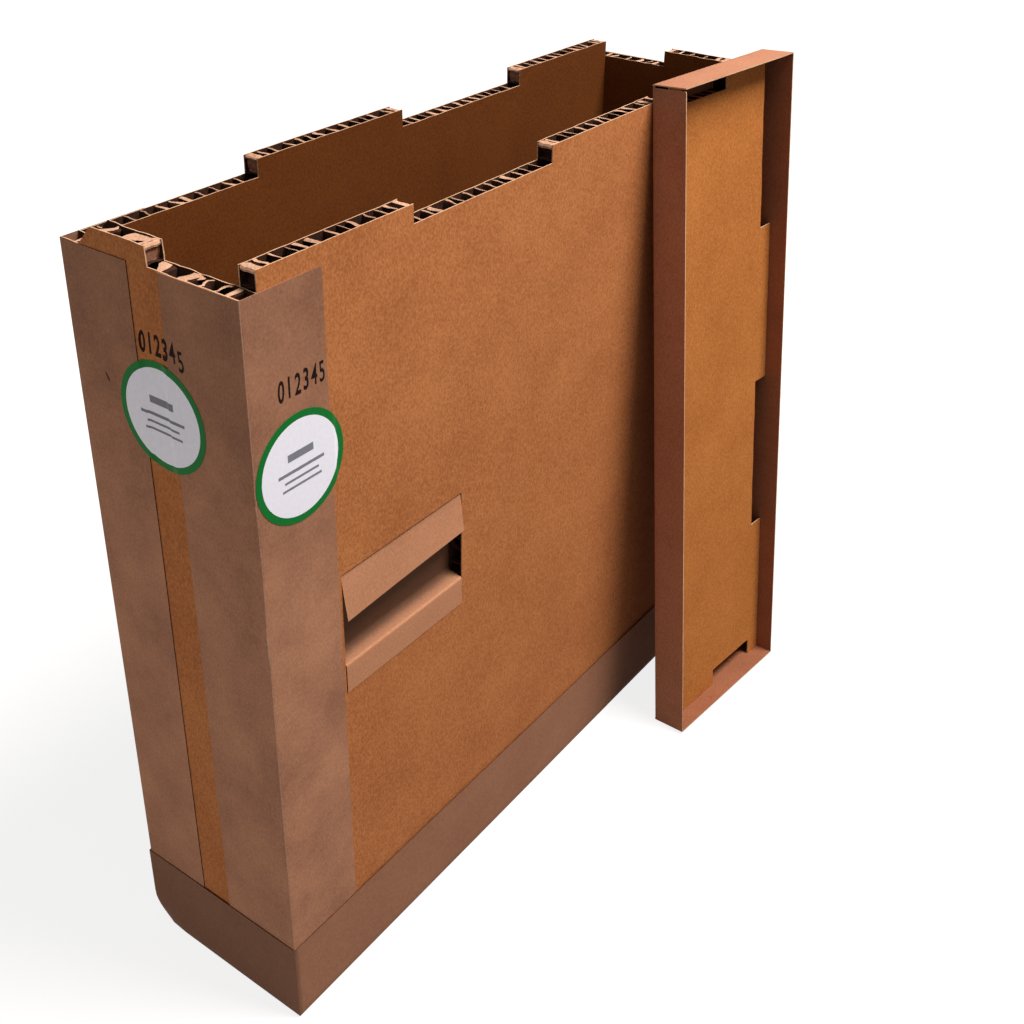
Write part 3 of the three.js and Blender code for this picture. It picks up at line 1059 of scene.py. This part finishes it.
def ink(name, colour, rough, thin=0.82):
    """A flat print or film. thin is how far its colour drops where it is thin."""
    material, tree, shader = new_finish(name, rough, INK_GLOSS)
    where = add_node(tree, "ShaderNodeTexCoord")
    speckle = add_node(tree, "ShaderNodeTexNoise", {"Scale": 260.0, "Detail": 4.0})
    wire(where, "Object", speckle, "Vector")
    ramp = add_node(tree, "ShaderNodeValToRGB")
    ramp.color_ramp.elements[0].color = (*[c * thin for c in srgb(*colour)], 1)
    ramp.color_ramp.elements[1].color = (*[min(1, c * 1.1) for c in srgb(*colour)], 1)
    wire(speckle, "Fac", ramp, "Fac")
    wire(ramp, "Color", shader, "Base Color")
    return material


sticker_white = ink("sticker_white", (246, 240, 250), 0.3, 0.94)
sticker_green = ink("sticker_green", (0, 112, 40), 0.35)
sticker_grey = ink("sticker_grey", (132, 130, 138), 0.4)
stamp_black = ink("stamp_black", (34, 22, 17), 0.8, 0.3)
print("finishes with inks:", len(bpy.data.materials))

# %% Stickers
FILM = 0.12 * MM
PRINT = 0.04 * MM
STICKER_LIFT = 0.3 * MM
BAR_LIFT = 0.46 * MM
DISC_RINGS = 46
GREEN_RINGS = (45.6, 47.2, 48.9, 50.5, 52.2)
GREEN_FROM = 45.5
AROUND = 96
BAR_PARTS = 60


def on_paper(side, along, up, surface, lift):
    """A point just off the paper. surface(along) gives how deep the paper lies there."""
    return dented(point(side, along, up, surface(along) - lift))


def smooth_step(low, high, value):
    t = max(0.0, min(1.0, (value - low) / (high - low)))
    return t * t * (3 - 2 * t)


def sticker(name, side, centre, surface):
    radii = [1.0 * k for k in range(DISC_RINGS)] + list(GREEN_RINGS)
    vertices, faces, colours = [], [], []
    for radius in radii:
        for k in range(AROUND):
            angle = 2 * math.pi * k / AROUND
            run = centre[0] + radius * MM * math.cos(angle)
            rise = centre[1] + radius * MM * math.sin(angle)
            vertices.append(on_paper(side, run, rise, surface, STICKER_LIFT))
    for ring, radius in enumerate(radii[:-1]):
        for k in range(AROUND):
            a = ring * AROUND + k
            b = ring * AROUND + (k + 1) % AROUND
            faces.append((a, b, b + AROUND, a + AROUND))
            colours.append(1 if radius > GREEN_FROM else 0)
    mesh = mesh_of(name, vertices, faces, True, colours)
    join_points(mesh)
    piece = add_piece(name, mesh, [sticker_white, sticker_green])
    thicken(piece, FILM, 0, 0)


def bar(name, side, centre, size, surface):
    """A small printed bar on a sticker, in parts short enough to follow the film."""
    rows = []
    for k in range(BAR_PARTS + 1):
        run = centre[0] + size[0] * (k / BAR_PARTS - 0.5)
        rows.append([
            on_paper(side, run, centre[1] + size[1] * half, surface, BAR_LIFT)
            for half in (-0.5, 0.5)
        ])
    swept_sheet(name, rows, [sticker_grey], None, PRINT, 0, 0)


# %% The paper that the stickers lie on
wrap_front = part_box("corner_wrap_near_front")
wrap_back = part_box("corner_wrap_near_back")
end_face = extent("near_end_wall", end_side.inward)[0]
BRIDGE = 3.5 * MM


def front_surface(run):
    """A film doesn't drop off the edge of a sheet at once: it bridges the step."""
    edge = wrap_front[1][0]
    return front_face - MM * (1 - smooth_step(edge + BRIDGE, edge + 2 * BRIDGE, run))


def end_surface(run):
    left_edge, right_edge = -wrap_back[0][1], -wrap_front[1][1]
    on_left = 1 - smooth_step(left_edge + BRIDGE, left_edge + 2 * BRIDGE, run)
    on_right = smooth_step(right_edge - 2 * BRIDGE, right_edge - BRIDGE, run)
    return end_face - MM * max(on_left, on_right)


print("sheets end at", round(wrap_front[1][0], 4), "and", round(-wrap_back[0][1], 4))

# %% The two stickers and their bars
LABELS = (
    ("front_label", front_side, (-0.3650, 0.630), front_surface),
    ("end_label", end_side, (0.0013, 0.664), end_surface),
)
BARS = ((14, 30, 7), (0, 54, 3), (-8, 40, 2.2), (-15, 46, 2.2))
for name, side, centre, surface in LABELS:
    sticker(name, side, centre, surface)
    for i, (rise, width, height) in enumerate(BARS):
        bar(f"{name}_bar_{i + 1}", side, (centre[0], centre[1] + rise * MM),
            (width * MM, height * MM), surface)
print("stickers:", [label[0] for label in LABELS])

# %% [markdown]
# Something has dug into the near end's back wrap. A thin lens of dark paper shows it as
# well as a cut would, and leaves the wrap whole.

# %% Nick in the near end's back wrap
NICK_LIFT = 0.15 * MM
NICK_PARTS = 8


def nick(name, side, middle, length, width, slant, surface):
    rows = []
    for k in range(NICK_PARTS + 1):
        share = k / NICK_PARTS
        run = (share - 0.5) * length
        half = width / 2 * math.sin(math.pi * (0.08 + 0.84 * share))
        row = []
        for across in (-half, 0.0, half):
            along = middle[0] + run * math.cos(slant) - across * math.sin(slant)
            up = middle[1] + run * math.sin(slant) + across * math.cos(slant)
            row.append(on_paper(side, along, up, surface, NICK_LIFT))
        rows.append(row)
    # The lens is painted shade: it stands for the shade in a cut.
    swept_sheet(name, rows, [glue_and_shadow_edge], None, 0.1 * MM, 0, 0)


nick("wrap_nick", end_side, (-0.0661, 0.682), 9 * MM, 2.2 * MM, math.radians(-62), end_surface)
print("nick: 1")

# %% [markdown]
# A row of digits is stamped in black above each sticker. Text becomes a mesh, and each
# digit is shifted and turned a little, as a hand stamp leaves it.

# %% Stamped digits
DIGITS = "012345"
DIGIT_WIDTH = 0.55
DIGIT_SIZE = 27 * MM
DIGIT_STEP = 9.6 * MM
INK_LIFT = 0.12 * MM


def stamp(name, side, start, surface, seed, weight, drop=0.0):
    """weight makes the strokes bolder, and drop is how much lower the last digit sits."""
    rng = random.Random(seed)
    vertices, faces = [], []
    for i, digit in enumerate(DIGITS):
        curve = bpy.data.curves.new(name + digit, "FONT")
        curve.body = digit
        curve.size = DIGIT_SIZE
        curve.offset = weight * (1.0 if i < 4 else 0.45)
        letter = bpy.data.objects.new(name + digit, curve)
        mesh = letter.to_mesh()
        tilt = Matrix.Rotation(rng.uniform(-0.06, 0.06), 2)
        shift = Vector((start[0] + DIGIT_STEP * i, start[1] + rng.uniform(-0.6, 0.6) * MM))
        if i == len(DIGITS) - 1:
            shift.y -= drop
        base = len(vertices)
        for v in mesh.vertices:
            flat = tilt @ Vector((v.co.x * DIGIT_WIDTH, v.co.y)) + shift
            vertices.append(on_paper(side, flat.x, flat.y, surface, INK_LIFT))
        for polygon in mesh.polygons:
            faces.append([base + k for k in polygon.vertices])
        letter.to_mesh_clear()
        bpy.data.objects.remove(letter)
        bpy.data.curves.remove(curve)
    piece = add_piece(name, mesh_of(name, vertices, faces, False), [stamp_black])
    thicken(piece, PRINT, 0, 0)


stamp("front_stamp", front_side, (-0.386, 0.699), front_surface, 31, 0.5 * MM)
stamp("end_stamp", end_side, (-0.019, 0.722), end_surface, 32, 0.75 * MM, 6 * MM)
print("stamps: 2, of", len(DIGITS), "digits")

# %% [markdown]
# The floor is pale and the background white. The floor shows white to the camera but
# gives back little light, as the dark floor of a workshop would, so the foot of the crate
# stays a little darker than its top.

# %% Floor
SHADOW_RADIUS, WHITE_RADIUS = 0.5, 1.6
SHADOW_GLOW = 0.82
FLOOR_PAINT = (0.25, 0.24, 0.23, 1)
FLOOR_HALF = 6
FLOOR_DROP = 0.5 * MM


def plain_backdrop(tree):
    """1 for rays that show the background itself, directly or in a gloss, and 0 for others."""
    rays = add_node(tree, "ShaderNodeLightPath")
    shown = rays.outputs["Is Camera Ray"]
    for kind in ("Is Glossy Ray", "Is Transmission Ray"):
        either = add_node(tree, "ShaderNodeMath", operation="MAXIMUM")
        tree.links.new(shown, either.inputs[0])
        wire(rays, kind, either, 1)
        shown = either.outputs["Value"]
    return shown


def pale_floor():
    """Near the crate the floor takes a soft shadow, and further out it is plain white."""
    material = bpy.data.materials.new("pale_floor")
    material.use_nodes = True
    tree = material.node_tree
    tree.nodes.remove(tree.nodes["Principled BSDF"])
    output = tree.nodes["Material Output"]
    where = add_node(tree, "ShaderNodeTexCoord")
    distance = add_node(tree, "ShaderNodeVectorMath", operation="LENGTH")
    wire(where, "Object", distance, 0)
    spread = add_node(tree, "ShaderNodeMapRange", {
        "From Min": SHADOW_RADIUS, "From Max": WHITE_RADIUS,
        "To Min": SHADOW_GLOW, "To Max": 1.0,
    }, interpolation_type="SMOOTHSTEP")
    wire(distance, "Value", spread, "Value")
    glow = add_node(tree, "ShaderNodeEmission")
    wire(spread, "Result", glow, "Strength")
    paint = add_node(tree, "ShaderNodeBsdfDiffuse", {"Color": FLOOR_PAINT})
    both = add_node(tree, "ShaderNodeAddShader")
    wire(glow, "Emission", both, 0)
    wire(paint, "BSDF", both, 1)
    seen = add_node(tree, "ShaderNodeMixShader")
    tree.links.new(plain_backdrop(tree), seen.inputs["Fac"])
    wire(paint, "BSDF", seen, 1)
    wire(both, "Shader", seen, 2)
    wire(seen, "Shader", output, "Surface")
    return material


floor_corners = [
    (x * FLOOR_HALF, y * FLOOR_HALF, -FLOOR_DROP) for x, y in ((-1, -1), (1, -1), (1, 1), (-1, 1))]
floor = show("floor", mesh_of("floor", floor_corners, [(0, 1, 2, 3)]))
floor.data.materials.append(pale_floor())
print("floor:", 2 * FLOOR_HALF, "m wide, white from", WHITE_RADIUS, "m out")

# %% [markdown]
# Light comes from a large soft lamp above and in front, so the tops are brightest and
# the near end lies in shade. The world gives the soft rest.

# %% Light
def soft_lamp(name, place, target, size, power):
    lamp = bpy.data.lights.new(name, "AREA")
    lamp.shape = "DISK"
    lamp.size = size
    lamp.energy = power
    holder = show(name, lamp)
    holder.location = place
    holder.rotation_euler = (Vector(target) - Vector(place)).to_track_quat("-Z", "Y").to_euler()
    holder.visible_camera = False


LAMPS = (
    ("key", (0.65, -1.42, 3.6), (0, 0, 0.4), 1.5, 192),
    ("side", (-2.6, -0.2, 2.6), (0, 0, 0.5), 1.6, 7),
    ("low_side", (-1.5, 0.12, 0.34), (-0.42, 0, 0.3), 0.5, 2.3),
)
for lamp in LAMPS:
    soft_lamp(*lamp)
print("lamps:", len(LAMPS))

# %% World
WORLD_LIGHT = 0.16
world = bpy.data.worlds.new("studio")
bpy.context.scene.world = world
world.use_nodes = True
tree = world.node_tree
background = tree.nodes["Background"]
strength = add_node(tree, "ShaderNodeMix", {"A": WORLD_LIGHT, "B": 1.0}, data_type="FLOAT")
tree.links.new(plain_backdrop(tree), strength.inputs["Factor"])
wire(strength, "Result", background, "Strength")
background.inputs["Color"].default_value = (1, 1, 1, 1)
bpy.context.scene.view_settings.view_transform = "Standard"
print("the world lights the crate at", WORLD_LIGHT)

# %% [markdown]
# The camera stands at chest height by the near end of the crate and looks down on it, and
# it is rolled a little. The picture was cut from a larger one, so the lens is shifted.

# %% Camera
CAMERA_PLACE = Vector((-1.0354, -0.8043, 1.2118))
LOOK = Vector((0.72640, 0.51904, -0.45049))
HEAD = Vector((0.35677, 0.27547, 0.89266))
camera = bpy.data.cameras.new("camera")
camera.lens = 46.65
camera.sensor_width = 36
camera.shift_x = -0.0032
camera.shift_y = -0.1472
camera_object = show("camera", camera)
to_the_right = LOOK.cross(HEAD).normalized()
camera_object.matrix_world = Matrix.Translation(CAMERA_PLACE) @ Matrix(
    (to_the_right, HEAD, -LOOK)).transposed().to_4x4()
bpy.context.scene.camera = camera_object
print("camera", round(camera.lens, 1), "mm")
